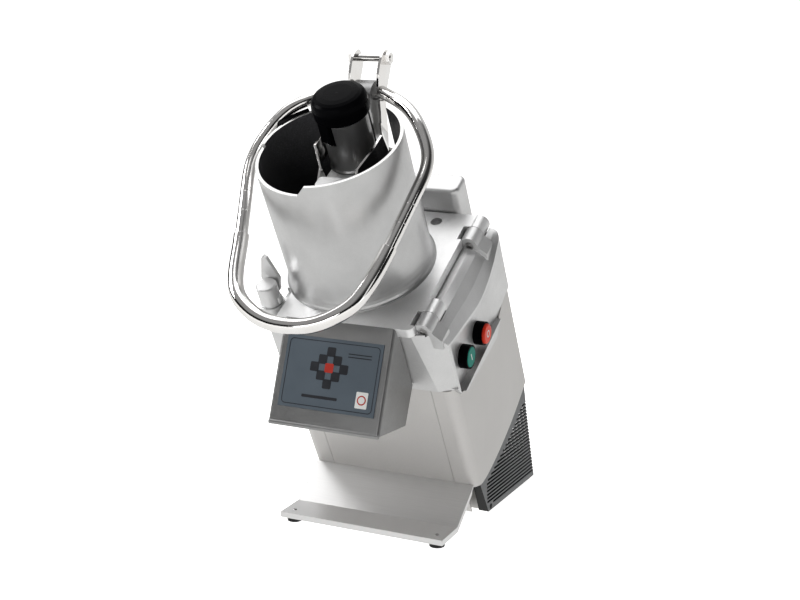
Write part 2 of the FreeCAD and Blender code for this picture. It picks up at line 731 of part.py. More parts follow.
def outlet_hood():
    """Chute hood in front of the disc chamber, open underneath, its side edges rounded."""
    seam = HOOD_TOP_Y - 0.1
    side = [(seam, LID_TOP), hood_face_point(1, 0), (-42, 141), (-3.2, 170), (-3.2, LID_LOW - 0.1),
            (seam, LID_LOW - 0.1)]
    x0, x1 = HEAD_X - HOOD_HALF, HEAD_X + HOOD_HALF
    shell = prism_x(side, x0, x1)
    slanted = []
    for edge in shell.Edges:
        bounds = edge.BoundBox
        if bounds.YMin < -80 and bounds.ZMax > LID_TOP - 1 and bounds.XLength < 1:
            slanted.append(edge)
    shell = shell.makeFillet(HOOD_ROUND, slanted)
    top_in = hood_face_point(0.0, -HOOD_WALL)
    low_in = hood_face_point(1.2, -HOOD_WALL)
    cavity = prism_x([(top_in[0] + 20, LID_LOW - 2), (top_in[0], LID_LOW - 2), top_in, low_in,
                      (-60, 100), (40, 100), (40, LID_LOW - 2)], x0 + HOOD_WALL, x1 - HOOD_WALL)
    shell = shell.cut(cavity)
    lip_y, lip_z = hood_face_point(1.0, -1.9)
    lip = rod(vec(x0 + 1.5, lip_y, lip_z), X, 3.0, x1 - x0 - 3)
    return join([shell, lip])


def label_plate():
    top = hood_face_point(0.16, 0.05)
    low = hood_face_point(0.84, 0.05)
    top_out = hood_face_point(0.16, 0.95)
    low_out = hood_face_point(0.84, 0.95)
    return prism_x([top, low, low_out, top_out], HEAD_X - 62, HEAD_X + 62)


def lid_magnet():
    return box(-58, -32, 196, 206.5, LID_LOW - 1.6, LID_LOW - 0.05)


def rim_bracket():
    """Dark stop bar that hugs the outside of the hopper at the rear left."""
    top = RIM_TOP - 6.0
    band = ring(vec(SHAFT_X, SHAFT_Y, top - 16), Z, HOPPER_R + 6.5, HOPPER_R + 0.1, 16)
    sector = prism_z([(SHAFT_X, SHAFT_Y), (SHAFT_X - 130, SHAFT_Y + 62), (SHAFT_X - 130, SHAFT_Y + 130),
                      (SHAFT_X - 108, SHAFT_Y + 130)], top - 20, top + 10)
    return band.common(sector)


# ---- lever ----

# Lever plate outline above its bend, as (y, z), and its sections in front of the bend, as
# (upper y, upper z, lower y, lower z, distance of the inner face from the middle).
PLATE_EDGE = [(193.0, 404.6), (198.0, 416.0), (203.0, 432.0), (207.0, 446.5), (214.5, 459.0), (223.0, 467.0),
              (231.0, 471.5), (237.0, 473.8), (243.5, 473.8), (248.5, 470.5), (251.0, 465.0),
              (251.2, 456.0), (249.0, 450.0), (240.0, 442.5), (230.0, 435.0), (222.0, 427.5), (215.0, 418.0),
              (209.0, 401.0), (203.4, 382.4)]
ARM_SECTIONS = [(190.8, 404.6, 203.4, 382.4, PLATE_IN), (154.0, 415.0, 160.0, 388.0, ARM_IN),
                (129.0, 414.0, 133.0, 387.0, ARM_IN), (106.0, 400.0, 113.0, 371.0, ARM_END_IN),
                (91.0, 387.0, 96.0, 360.0, ARM_END_IN)]


def section_wire(station, side):
    top_y, top_z, low_y, low_z, x = station
    xs = sorted((SHAFT_X + side * x, SHAFT_X + side * (x + PLATE_T)))
    pts = [vec(xs[0], low_y, low_z), vec(xs[1], low_y, low_z), vec(xs[1], top_y, top_z),
           vec(xs[0], top_y, top_z)]
    return Part.makePolygon(pts + pts[:1])


def lever_plate(side):
    """Chrome plate: cross pin eye, pivot eye, and the bent arm that reaches over the rim."""
    x0 = min(SHAFT_X + side * PLATE_IN, SHAFT_X + side * (PLATE_IN + PLATE_T))
    parts = [prism_x(PLATE_EDGE + [ARM_SECTIONS[0][:2]], x0, x0 + PLATE_T)]
    for a, b in zip(ARM_SECTIONS, ARM_SECTIONS[1:]):
        parts.append(Part.makeLoft([section_wire(a, side), section_wire(b, side)], True, True))
    solid = join(parts)
    solid = solid.cut(rod(vec(SHAFT_X - 40, PIVOT_Y, PIVOT_Z), X, PIVOT_R + 0.02, 80))
    solid = solid.cut(rod(vec(SHAFT_X - 40, CROSS_Y, CROSS_Z), X, 3.6, 80))
    return solid.cut(rod(vec(SHAFT_X - 50, STUD_Y, STUD_Z), X, STUD_R, 100))


def cross_pin():
    spacer = rod(vec(SHAFT_X - PLATE_IN, CROSS_Y, CROSS_Z), X, 4.6, 2 * PLATE_IN)
    end = PLATE_IN + PLATE_T + 7.6
    return spacer.fuse(rod(vec(SHAFT_X - end, CROSS_Y, CROSS_Z), X, 3.55, 2 * end)).removeSplitter()


def cross_nuts():
    nuts = []
    for side in (-1, 1):
        x = SHAFT_X + side * (PLATE_IN + PLATE_T)
        x0 = min(x + side * 0.05, x + side * 6.5)
        pts = []
        for i in range(6):
            a = math.radians(60 * i)
            pts.append((CROSS_Y + 7.6 * math.cos(a), CROSS_Z + 7.6 * math.sin(a)))
        nuts.append(prism_x(pts, x0, x0 + 6.4).cut(rod(vec(x0 - 1, CROSS_Y, CROSS_Z), X, 3.6, 9)))
    return group(nuts)


def pivot_pin():
    end = PLATE_IN + PLATE_T
    pin = rod(vec(SHAFT_X - end, PIVOT_Y, PIVOT_Z), X, PIVOT_R, 2 * end)
    heads = []
    for side in (-1, 1):
        x = min(SHAFT_X + side * end, SHAFT_X + side * (end + 2.6))
        heads.append(rod(vec(x, PIVOT_Y - 0.8, PIVOT_Z - 2.2), X, 2.8, 2.6))
    return join([pin] + heads)


def arm_studs():
    studs = []
    for side in (-1, 1):
        a = sorted((SHAFT_X + side * 19.6, SHAFT_X + side * (ARM_END_IN + PLATE_T + 2)))
        studs.append(rod(vec(a[0], STUD_Y, STUD_Z), X, STUD_R - 0.02, a[1] - a[0]))
    return group(studs)


# Half of the bail's centre line, as (sideways, y, z): the arm, the point where the thicker grip
# begins, and the grip up to the middle.
BAIL_ARM = [(21.8, 207.5, 438.8), (48.2, 187.8, 442.7), (75.6, 167.0, 440.6), (98.7, 141.6, 426.1),
            (109.6, 120.0, 413.0), (111.6, 100.0, 404.2), (108.6, 79.5, 395.6), (103.8, 57.8, 385.2),
            (99.0, 36.1, 374.9)]
BAIL_STEP = (94.2, 14.5, 364.6)
BAIL_GRIP = [(90.3, -3.0, 357.3), (86.2, -21.5, 350.7), (81.6, -37.0, 345.2), (73.0, -54.0, 338.9),
             (58.0, -67.8, 333.1), (44.0, -75.6, 329.0), (28.0, -80.8, 325.9), (14.0, -83.2, 324.7),
             (0.0, -83.8, 324.4)]


def bail_point(station, side):
    return vec(SHAFT_X + side * station[0], station[1], station[2])


def swept(points, radius):
    curve = Part.BSplineCurve()
    curve.interpolate(points)
    path = Part.Wire(curve.toShape())
    start, tangent = curve.value(curve.FirstParameter), curve.tangent(curve.FirstParameter)[0]
    section = Part.Wire(Part.makeCircle(radius, start, tangent))
    return path.makePipeShell([section], True, True)


def bail_grip():
    """Thicker front grip of the bail."""
    left = [bail_point(station, -1) for station in [BAIL_STEP] + BAIL_GRIP]
    right = [bail_point(station, 1) for station in reversed([BAIL_STEP] + BAIL_GRIP[:-1])]
    return swept(left + right, GRIP_R)


def bail_arms():
    """The two chromed tubes from the lever plates forward to the grip."""
    arms = []
    grip = bail_grip()
    near = PLATE_IN + PLATE_T
    for side in (-1, 1):
        arm = swept([bail_point(station, side) for station in BAIL_ARM + [BAIL_STEP]], BAIL_R)
        keep = sorted((SHAFT_X + side * near, SHAFT_X + side * 200))
        arms.append(arm.common(box(keep[0], keep[1], -200, 300, 200, 600)).cut(grip))
    return group(arms)


# ---- pusher ----

def tube_bore():
    return rod(vec(SHAFT_X, TUBE_Y, 200), Z, TUBE_R + 0.02, 400)


def pusher_plate():
    plate = rod(vec(SHAFT_X, SHAFT_Y, PUSHER_LOW), Z, PUSHER_R, 6.0)
    rim = ring(vec(SHAFT_X, SHAFT_Y, PUSHER_LOW + 6), Z, PUSHER_R, PUSHER_R - 4, 10.0)
    return plate.fuse(rim).cut(tube_bore()).removeSplitter()


def frustum(low, high, z0, z1):
    wires = []
    for (x, y0, y1), z in ((low, z0), (high, z1)):
        pts = [vec(SHAFT_X - x, y0, z), vec(SHAFT_X + x, y0, z), vec(SHAFT_X + x, y1, z),
               vec(SHAFT_X - x, y1, z)]
        wires.append(Part.makePolygon(pts + pts[:1]))
    return Part.makeLoft(wires, True, True)


def pusher_column():
    """Hollow cast column between the pusher plate and its head block."""
    z0 = PUSHER_LOW + 6.05
    outer = frustum((44, 58, 124), (BLOCK_HALF, 82, 122), z0, BLOCK_LOW)
    inner = frustum((40, 62, 120), (BLOCK_HALF - 4, 86, 118), z0 - 0.1, BLOCK_LOW + 0.1)
    return outer.cut(inner).cut(rod(vec(SHAFT_X, TUBE_Y, 200), Z, TUBE_R + 1.0, 300))


def pusher_block():
    """Head block with a slot on each side for the lever studs."""
    x0, x1 = SHAFT_X - BLOCK_HALF, SHAFT_X + BLOCK_HALF
    block = round_slab(x0, x1, 79, 131, BLOCK_LOW + 0.05, BLOCK_TOP, 4.0)
    block = join([block, round_slab(x0, x1, 79, 97, BLOCK_LOW + 1, BLOCK_TOP + 10, 4.0)])
    block = block.cut(rod(vec(SHAFT_X, TUBE_Y, 300), Z, TUBE_R + 0.02, 200))
    for side in (-1, 1):
        a = sorted((SHAFT_X + side * 19.0, SHAFT_X + side * 30.0))
        slot = box(a[0], a[1], 88.8, 104, STUD_Z - 7.2, STUD_Z + 7.2)
        for y in (88.8, 104):
            slot = slot.fuse(rod(vec(a[0], y, STUD_Z), X, 7.2, a[1] - a[0]))
        block = block.cut(slot)
    return block


def feed_tube():
    """Round feed tube with a collar above the pusher's head block and a slot for the plunger tab."""
    tube = ring(vec(SHAFT_X, TUBE_Y, PUSHER_LOW), Z, TUBE_R, TUBE_BORE, TUBE_TOP - PUSHER_LOW)
    low = BLOCK_TOP + 0.4
    collar = turned([(TUBE_R - 1, low), (TUBE_R + 1.6, low), (TUBE_R + 1.4, low + 1.4),
                     (TUBE_R, low + 3.4), (TUBE_R - 1, low + 3.4)], SHAFT_X, TUBE_Y)
    tube = tube.fuse(collar).removeSplitter()
    return tube.cut(tab_block(20.0, 40.0, TUBE_TOP - 26.0, TUBE_TOP + 5, 10.0))


def tab_block(near, far, low, high, half):
    """Block on the tube's front left, where the plunger's guide tab runs."""
    block = box(near, far, -half, half, low, high)
    block.rotate(vec(0, 0, 0), Z, -115)
    block.translate(vec(SHAFT_X, TUBE_Y, 0))
    return block


def plunger_stem():
    """Hollow plunger that slides in the feed tube."""
    stem = rod(vec(SHAFT_X, TUBE_Y, PUSHER_LOW + 2), Z, TUBE_BORE - 0.08, TUBE_TOP + 2 - PUSHER_LOW)
    return stem.cut(rod(vec(SHAFT_X, TUBE_Y, PUSHER_LOW + 8), Z, TUBE_BORE - 4, 300))


def plunger_cap():
    """Domed cap over the top of the feed tube with a guide tab in the tube's slot."""
    low = TUBE_TOP + 3.2
    seat = TUBE_TOP + 4.05
    bore = TUBE_BORE - 0.08
    dome = turned([(0, seat), (bore, seat), (bore, low), (CAP_R - 1.2, low), (CAP_R - 0.6, low + 2),
                   (CAP_R, CAP_TOP - 14), (CAP_R - 0.3, CAP_TOP - 11), (CAP_R - 1.1, CAP_TOP - 7.6),
                   (CAP_R - 2.6, CAP_TOP - 4.6), (CAP_R - 5.0, CAP_TOP - 2.4), (CAP_R - 9.0, CAP_TOP - 0.9),
                   (CAP_R - 16.0, CAP_TOP - 0.2), (0, CAP_TOP)], SHAFT_X, TUBE_Y)
    tab = tab_block(TUBE_BORE + 0.4, TUBE_R + 3.0, low - 25.0, low + 4, 9.0)
    return join([dome, tab])


# ---- lid lock ----

def lock_knob():
    z0 = 258.4
    profile = [(5.1, z0), (KNOB_R, z0), (KNOB_R, 284.5), (KNOB_R - 1.5, 286), (0, 286), (0, 272),
               (5.1, 272)]
    return turned(profile, KNOB_X, KNOB_Y)


def lock_lever():
    """Pointed thumb wing behind the knob and the short cam beside the edge of the lid."""
    outline = [(-8, 266), (8, 266), (12.5, 284), (3.5, 315), (0, 318), (-3.5, 315), (-12.5, 284)]
    wing = face_of([vec(x, 0, z) for x, z in outline]).extrude(vec(0, 5, 0))
    wing.translate(vec(KNOB_X - 1, KNOB_Y + KNOB_R + 0.2, 0))
    tie = box(KNOB_X - 6, KNOB_X + 6, KNOB_Y + KNOB_R - 4, KNOB_Y + KNOB_R + 1, 267, 279)
    hook = round_slab(KNOB_X + 8, KNOB_X + 15, KNOB_Y - 4, KNOB_Y + 5, LID_TOP - 3, LID_TOP + 5.5, 2.0)
    return join([wing, tie, hook]).cut(rod(vec(KNOB_X, KNOB_Y, 250), Z, KNOB_R + 0.02, 60))


FLOOR_PARTS = {
    "apron_plate": apron_plate,
    "feet_front": feet_front,
    "feet_rear": feet_rear,
    "foot_screws": foot_screws,
    "floor_tray": floor_tray,
    "vent_cover": vent_cover,
    "vent_screws": vent_screws,
}

MACHINE_PARTS = {
    "body_shell": body_shell,
    "front_panel": front_panel,
    "top_casting": top_casting,
    "rear_housing": rear_housing,
    "hinge_pins": hinge_pins,
    "lock_post": lock_post,
    "safety_switch": safety_switch,
    "contact_blocks": contact_blocks,
    "button_boots": button_boots,
    "motor_plate": motor_plate,
    "bearing_housing": bearing_housing,
    "shaft_bearings": shaft_bearings,
    "shaft_seal": shaft_seal,
    "drive_belt": drive_belt,
    "motor_body": motor_body,
    "motor_bolts": motor_bolts,
    "electric_box": electric_box,
    "dicing_grid": dicing_grid,
    "drive_shaft": drive_shaft,
    "shaft_pulley": shaft_pulley,
    "ejector_plate": ejector_plate,
    "cutting_disc": cutting_disc,
    "disc_blade": disc_blade,
    "motor_shaft": motor_shaft,
    "motor_pulley": motor_pulley,
    "motor_fan": motor_fan,
    "lid_plate": lid_plate,
    "feed_cylinder": feed_cylinder,
    "rear_lug": rear_lug,
    "outlet_hood": outlet_hood,
    "label_plate": label_plate,
    "lid_magnet": lid_magnet,
    "rim_bracket": rim_bracket,
    "lever_plate_left": lambda: lever_plate(-1),
    "lever_plate_right": lambda: lever_plate(1),
    "cross_pin": cross_pin,
    "cross_nuts": cross_nuts,
    "pivot_pin": pivot_pin,
    "arm_studs": arm_studs,
    "bail_arms": bail_arms,
    "bail_grip": bail_grip,
    "pusher_plate": pusher_plate,
    "pusher_column": pusher_column,
    "pusher_block": pusher_block,
    "feed_tube": feed_tube,
    "plunger_stem": plunger_stem,
    "plunger_cap": plunger_cap,
    "lock_knob": lock_knob,
    "lock_lever": lock_lever,
    "start_bezel": lambda: button_parts("start")[0],
    "stop_bezel": lambda: button_parts("stop")[0],
    "start_button": lambda: button_parts("start")[1],
    "stop_button": lambda: button_parts("stop")[1],
}


def build():
    """Every node's shape in the floor frame."""
    shapes = {name: make() for name, make in FLOOR_PARTS.items()}
    for name, make in MACHINE_PARTS.items():
        shapes[name] = leaned(make())
    return shapes


def origin_of(shapes):
    """Bottom centre of the whole object's box."""
    total = FreeCAD.BoundBox()
    for shape in shapes.values():
        total.add(shape.optimalBoundingBox(False, False))
    return vec((total.XMin + total.XMax) / 2, (total.YMin + total.YMax) / 2, total.ZMin)


def main():
    os.makedirs("parts", exist_ok=True)
    shapes = build()
    origin = origin_of(shapes)
    for name, shape in shapes.items():
        moved = shape.copy()
        moved.translate(vec(-origin.x, -origin.y, -origin.z))
        moved.exportStep("parts/" + name + ".step")
    print("nodes", len(shapes), "origin", origin)


if __name__ == "__main__":
    main()
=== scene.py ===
import json
import math

import bmesh
import bpy
from mathutils import Matrix, Vector


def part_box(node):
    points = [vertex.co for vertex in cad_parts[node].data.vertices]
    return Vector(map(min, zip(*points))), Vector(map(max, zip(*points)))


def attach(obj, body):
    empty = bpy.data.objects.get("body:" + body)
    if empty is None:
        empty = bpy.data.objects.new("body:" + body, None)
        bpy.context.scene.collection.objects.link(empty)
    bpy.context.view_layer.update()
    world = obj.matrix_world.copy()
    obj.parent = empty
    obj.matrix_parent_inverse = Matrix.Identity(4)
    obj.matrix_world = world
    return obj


# A countertop vegetable dicer. The CAD frame gives every solid; this script adds the finishes,
# the printed plate, the button marks, the studio and the camera.

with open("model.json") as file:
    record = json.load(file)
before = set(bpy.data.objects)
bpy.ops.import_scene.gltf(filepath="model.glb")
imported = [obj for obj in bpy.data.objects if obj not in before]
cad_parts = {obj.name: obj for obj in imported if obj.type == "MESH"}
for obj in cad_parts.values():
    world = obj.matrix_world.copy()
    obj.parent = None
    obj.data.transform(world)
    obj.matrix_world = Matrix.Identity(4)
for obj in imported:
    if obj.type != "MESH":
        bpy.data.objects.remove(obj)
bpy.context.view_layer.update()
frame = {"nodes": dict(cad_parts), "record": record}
nodes = frame["nodes"]

# ---- the machine's leaning frame, in millimetres ----
# x goes across, y back along the lid and z up the drive shaft.

LEAN = math.radians(30.0)
LIFT = 50.9
SHAFT_X, SHAFT_Y = -24.0, 99.0
FRONT_FOOT_Y = -84.3


def middle(node):
    low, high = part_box(node)
    return (low + high) / 2


ORIGIN = Vector((SHAFT_X - middle("drive_shaft").x * 1000,
                 FRONT_FOOT_Y - middle("feet_front").y * 1000, 0))


def at(x, y, z):
    """A point of the leaning frame as a place in the scene, in metres."""
    turned = Vector((x, y * math.cos(LEAN) - z * math.sin(LEAN),
                     LIFT + y * math.sin(LEAN) + z * math.cos(LEAN)))
    return (turned - ORIGIN) / 1000


UP = Vector((0, -math.sin(LEAN), math.cos(LEAN)))


# ---- node trees ----
# Noise scales are in cells per metre, relief distances and edge radii in metres.

class Finish:
    """A material under construction, with short ways to add and join its nodes."""

    def __init__(self, name):
        self.material = bpy.data.materials.new(name)
        self.material.use_nodes = True
        self.tree = self.material.node_tree
        self.shader = self.tree.nodes["Principled BSDF"]
        self.coords = self.tree.nodes.new("ShaderNodeTexCoord")

    def set(self, **values):
        for key, value in values.items():
            self.shader.inputs[key.replace("_", " ")].default_value = value

    def add(self, kind, inputs=None, **settings):
        node = self.tree.nodes.new("ShaderNode" + kind)
        for key, value in settings.items():
            setattr(node, key, value)
        for key, value in (inputs or {}).items():
            if isinstance(value, bpy.types.NodeSocket):
                self.tree.links.new(value, node.inputs[key])
            else:
                node.inputs[key].default_value = value
        return node

    def join(self, socket, target):
        self.tree.links.new(socket, self.shader.inputs[target])

    def stretched(self, scale, turn=(0, 0, 0)):
        node = self.add("Mapping", {"Vector": self.coords.outputs["Object"], "Scale": scale,
                                    "Rotation": turn})
        return node.outputs["Vector"]

    def noise(self, scale, detail=2.0, rough=0.5, vector=None):
        node = self.add("TexNoise", {"Vector": vector or self.coords.outputs["Object"],
                                     "Scale": scale, "Detail": detail, "Roughness": rough})
        return node.outputs["Fac"]

    def span(self, socket, low, high, start=0.3, stop=0.7):
        node = self.add("MapRange", {"Value": socket, "From Min": start, "From Max": stop,
                                     "To Min": low, "To Max": high})
        return node.outputs["Result"]

    def times(self, a, b):
        return self.add("Math", {0: a, 1: b}, operation="MULTIPLY").outputs["Value"]

    def blend(self, share, first, second):
        node = self.add("MixRGB", {"Fac": share, "Color1": first, "Color2": second})
        return node.outputs["Color"]

    def shades(self, share, first, second):
        return self.blend(share, (*first, 1), (*second, 1))

    def vector(self, operation, inputs):
        return self.add("VectorMath", inputs, operation=operation).outputs[0]

    def dot(self, socket, direction):
        node = self.add("VectorMath", {0: socket, 1: direction}, operation="DOT_PRODUCT")
        return node.outputs["Value"]

    def linked(self, target):
        return self.shader.inputs[target].links[0].from_socket

    def relief(self, layers, edge=0.0006):
        """Bump from (height, distance, strength) layers over softly rounded edges."""
        normal = None
        if edge:
            normal = self.add("Bevel", {"Radius": edge}, samples=4).outputs["Normal"]
        for height, distance, strength in layers:
            inputs = {"Height": height, "Distance": distance, "Strength": strength}
            if normal is not None:
                inputs["Normal"] = normal
            normal = self.add("Bump", inputs).outputs["Normal"]
        self.join(normal, "Normal")


def tone(value, warm=0.0):
    return (value * (1 + warm), value, value * (1 - warm))


def blasted(name, shade, rough, metallic=1.0, grain=1.0):
    """Glass bead blasted cast aluminium: fine even grain, faint mottling, soft wide highlights."""
    f = Finish(name)
    f.set(Metallic=metallic)
    speckle = f.noise(1100.0, 3.0, 0.6)
    mottle = f.noise(26.0, 4.0, 0.55)
    colour = f.shades(f.span(mottle, 0.0, 1.0), tone(shade * 0.93), tone(shade * 1.05))
    grains = f.shades(f.span(speckle, 0.0, 1.0, 0.25, 0.75), tone(shade * 0.72), tone(shade * 1.2))
    f.join(f.blend(0.35 * grain, colour, grains), "Base Color")
    f.join(f.span(f.noise(340.0, 2.0), rough - 0.05, rough + 0.06), "Roughness")
    f.relief([(speckle, 0.0003, 0.16 * grain), (f.noise(95.0, 3.0), 0.0011, 0.06)])
    return f


def sheet(name, shade, rough, direction, warm, metallic):
    """Satin sheet with a fine grain drawn along one direction."""
    f = Finish(name)
    f.set(Metallic=metallic)
    lines = f.noise(1.0, 3.0, 0.6, f.stretched(direction))
    cloud = f.noise(9.0, 3.0)
    drawn = f.shades(f.span(lines, 0.0, 1.0), tone(shade * 0.94, warm), tone(shade * 1.05, warm))
    patchy = f.shades(f.span(cloud, 0.0, 1.0), tone(shade * 0.95, warm), tone(shade * 1.04, warm))
    f.join(f.blend(0.5, drawn, patchy), "Base Color")
    f.join(f.span(lines, rough - 0.05, rough + 0.07), "Roughness")
    f.relief([(lines, 0.0001, 0.08)], edge=0.0007)
    return f


def polished(name, shade=0.80, rough=0.07):
    """Polished stainless tube and plate with a trace of buffing marks and handling haze."""
    f = Finish(name)
    f.set(Metallic=1.0)
    haze = f.noise(30.0, 4.0, 0.6)
    buff = f.noise(1.0, 2.0, 0.6, f.stretched((700.0, 700.0, 90.0)))
    colour = f.shades(f.span(haze, 0.0, 1.0), tone(shade * 0.95, 0.025), tone(shade * 1.03, 0.01))
    f.join(colour, "Base Color")
    f.join(f.span(f.times(haze, buff), rough * 0.6, rough * 2.0, 0.1, 0.45), "Roughness")
    f.relief([(buff, 0.00008, 0.05)], edge=0.0005)
    return f


def moulded(name, colour, rough=0.35, spread=0.18, coat=0.0, texture=0.15, edge=0.0006, gloss=0.5):
    """Moulded plastic or rubber with a fine surface texture and uneven gloss."""
    f = Finish(name)
    f.set(Metallic=0.0, Coat_Weight=coat, Coat_Roughness=0.12, Specular_IOR_Level=gloss)
    fine = f.noise(1300.0, 2.0, 0.6)
    cloud = f.noise(34.0, 3.0)
    low = tuple(c * (1 - spread) for c in colour)
    high = tuple(min(1.0, c * (1 + spread)) for c in colour)
    f.join(f.shades(f.span(cloud, 0.0, 1.0), low, high), "Base Color")
    f.join(f.span(cloud, rough - 0.05, rough + 0.07), "Roughness")
    f.relief([(fine, 0.0002, texture)], edge=edge)
    return f


def machined(name, shade, rough=0.24):
    """Turned or ground metal: fine tool marks as noise squeezed along z."""
    f = Finish(name)
    f.set(Metallic=1.0)
    marks = f.noise(1.0, 2.0, 0.6, f.stretched((160.0, 160.0, 1900.0)))
    colour = f.shades(f.span(marks, 0.0, 1.0), tone(shade * 0.9, 0.01), tone(shade * 1.06, 0.01))
    f.join(colour, "Base Color")
    f.join(f.span(marks, rough - 0.06, rough + 0.10), "Roughness")
    f.relief([(marks, 0.0001, 0.12)], edge=0.0004)
    return f


# ---- finishes that differ from place to place on one piece ----

# Painted shade for the hopper's inside: near black with lighter flecks; the scratches are wear.
INSIDE_PAINTED_SHADE, INSIDE_SHADE_FLECK = (0.075, 0.075, 0.080), (0.22, 0.22, 0.23)
SCRATCH, RIM = (0.4, 0.4, 0.42, 1), (0.62, 0.62, 0.61, 1)
INSIDE_ROUGH, RIM_ROUGH = (0.5, 0.5, 0.5, 1), (0.2, 0.2, 0.2, 1)
HOPPER_METALLIC = 0.85
HOLLOW_REACH = 0.006
# Painted shade on the vent: black in its slots and on faces turned towards the front and down.
PAINTED_SLOT_SHADE = (0.006, 0.006, 0.006, 1)
SHADE_FACING_WAY = (0.0, -0.9, -0.42)


def hopper_finish():
    """Blasted outside; inside, painted shade, near black with lighter flecks and a few scratches;
    bright turned rim.
    """
    f = blasted("hopper_aluminium", 0.57, rough=0.33, grain=0.45)
    normal = f.coords.outputs["Normal"]
    axis = at(SHAFT_X, SHAFT_Y, 0)
    from_axis = f.vector("SUBTRACT", {0: f.coords.outputs["Object"], 1: axis})
    along = f.vector("SCALE", {0: UP, "Scale": f.dot(from_axis, UP)})
    radial = f.vector("SUBTRACT", {0: from_axis, 1: along})
    facing = f.dot(normal, f.vector("NORMALIZE", {0: radial}))
    inside = f.span(facing, 1.0, 0.0, -0.75, -0.35)
    flat = f.span(f.dot(normal, UP), 0.0, 1.0, 0.80, 0.92)
    fleck = f.noise(900.0, 2.0, 0.7)
    # The inside is painted near black as shade, flecked, with a few scratches over it.
    painted_shade_and_scratches = f.shades(f.span(fleck, 0.0, 1.0, 0.50, 0.78), INSIDE_PAINTED_SHADE, INSIDE_SHADE_FLECK)
    scratch = f.noise(1.0, 1.0, 0.5, f.stretched((420.0, 12.0, 14.0), (0.5, 0.7, 0.9)))
    painted_shade_and_scratches = f.blend(f.span(scratch, 0.0, 0.5, 0.735, 0.76), painted_shade_and_scratches, SCRATCH)
    f.join(f.blend(flat, f.blend(inside, f.linked("Base Color"), painted_shade_and_scratches), RIM), "Base Color")
    f.join(f.span(inside, HOPPER_METALLIC, 0.0, 0.0, 1.0), "Metallic")
    rough = f.blend(inside, f.linked("Roughness"), INSIDE_ROUGH)
    f.join(f.blend(flat, rough, RIM_ROUGH), "Roughness")
    return f


def vent_finish():
    """Grey moulding with painted shade: black inside its slots and on its faces turned to the front
    and down, beside the front panel.
    """
    f = moulded("vent_moulding", (0.17, 0.174, 0.18), rough=0.42, spread=0.08, texture=0.25)
    # Ambient occlusion finds the slots, and the dot product finds the faces turned front and down;
    # both are painted black as shade.
    hollow = f.add("AmbientOcclusion", {"Distance": HOLLOW_REACH}, samples=8, only_local=True)
    open_face = f.span(hollow.outputs["AO"], 0.0, 1.0, 0.62, 0.86)
    front = f.span(f.dot(f.coords.outputs["Normal"], SHADE_FACING_WAY), 1.0, 0.0, 0.45, 0.6)
    f.join(f.blend(f.times(open_face, front), PAINTED_SLOT_SHADE, f.linked("Base Color")), "Base Color")
    return f


lid_cast = blasted("lid_aluminium", 0.82, rough=0.40, metallic=0.7, grain=0.5)
# Darker aluminium for the feed tube; on the rear lug it is painted shade, for the lug sits in shade
# between the lever plates.
tube_tone_and_lug_shade = blasted("tube_aluminium_and_lug_shade", 0.36, rough=0.33, metallic=0.8, grain=0.4)
apron_sheet = sheet("apron_sheet", 0.74, rough=0.34, direction=(22.0, 900.0, 900.0),
                    warm=0.005, metallic=0.75)

FINISHES = {
    "cast_aluminium": blasted("cast_aluminium", 0.68, rough=0.40, metallic=0.75, grain=0.5),
    "hood_casting": blasted("hood_aluminium", 0.30, rough=0.34, metallic=0.9, grain=0.15),
    "machined_aluminium": machined("machined_aluminium", 0.74, rough=0.22),
    "brushed_sheet": sheet("body_sheet", 0.62, rough=0.46, direction=(900.0, 900.0, 22.0),
                           warm=0.02, metallic=0.45),
    "polished_steel": polished("polished_steel"),
    "plain_steel": machined("plain_steel", 0.55),
    "black_plastic": moulded("black_plastic", (0.004, 0.004, 0.005), rough=0.30, spread=0.1,
                             texture=0.08, gloss=0.03),
    "vent_plastic": vent_finish(),
    "green_plastic": moulded("green_plastic", (0.004, 0.26, 0.20), rough=0.36, spread=0.05,
                             texture=0.03, gloss=0.12),
    "red_plastic": moulded("red_plastic", (0.78, 0.06, 0.026), rough=0.3, spread=0.05,
                           texture=0.03, gloss=0.3),
    "label_foil": moulded("label_foil", (0.10, 0.125, 0.15), rough=0.42, spread=0.02,
                          texture=0.03, edge=0.0003),
    "feet_rubber": moulded("feet_rubber", (0.012, 0.012, 0.012), rough=0.62, spread=0.2,
                           texture=0.3),
    "belt_rubber": moulded("belt_rubber", (0.02, 0.02, 0.02), rough=0.7, spread=0.2, texture=0.3),
    "grey_plastic": moulded("grey_plastic", (0.12, 0.125, 0.13), rough=0.45, spread=0.1),
    "motor_paint": moulded("motor_paint", (0.04, 0.05, 0.06), rough=0.38, spread=0.15, coat=0.2),
    "ceramic_white": moulded("white_plastic", (0.62, 0.62, 0.60), rough=0.4, spread=0.05),
}
# The rear lug takes the darker tube aluminium as painted shade.
SPECIAL = {
    "feed_cylinder": hopper_finish(), "apron_plate": apron_sheet, "lid_plate": lid_cast,
    "feed_tube": tube_tone_and_lug_shade, "rear_lug": tube_tone_and_lug_shade,
}

node_slots = {part["node"]: part["material_slot"] for part in frame["record"]["subparts"]}
for name, node in nodes.items():
    finish = SPECIAL.get(name) or FINISHES[node_slots[name]]
    node.data.materials.clear()
    node.data.materials.append(finish.material)


# ---- small pieces built as meshes ----

def mesh_piece(name, mesh, body, finish):
    piece = bpy.data.objects.new(name, mesh)
    bpy.context.scene.collection.objects.link(piece)
    piece.data.materials.append(finish.material)
    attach(piece, body)


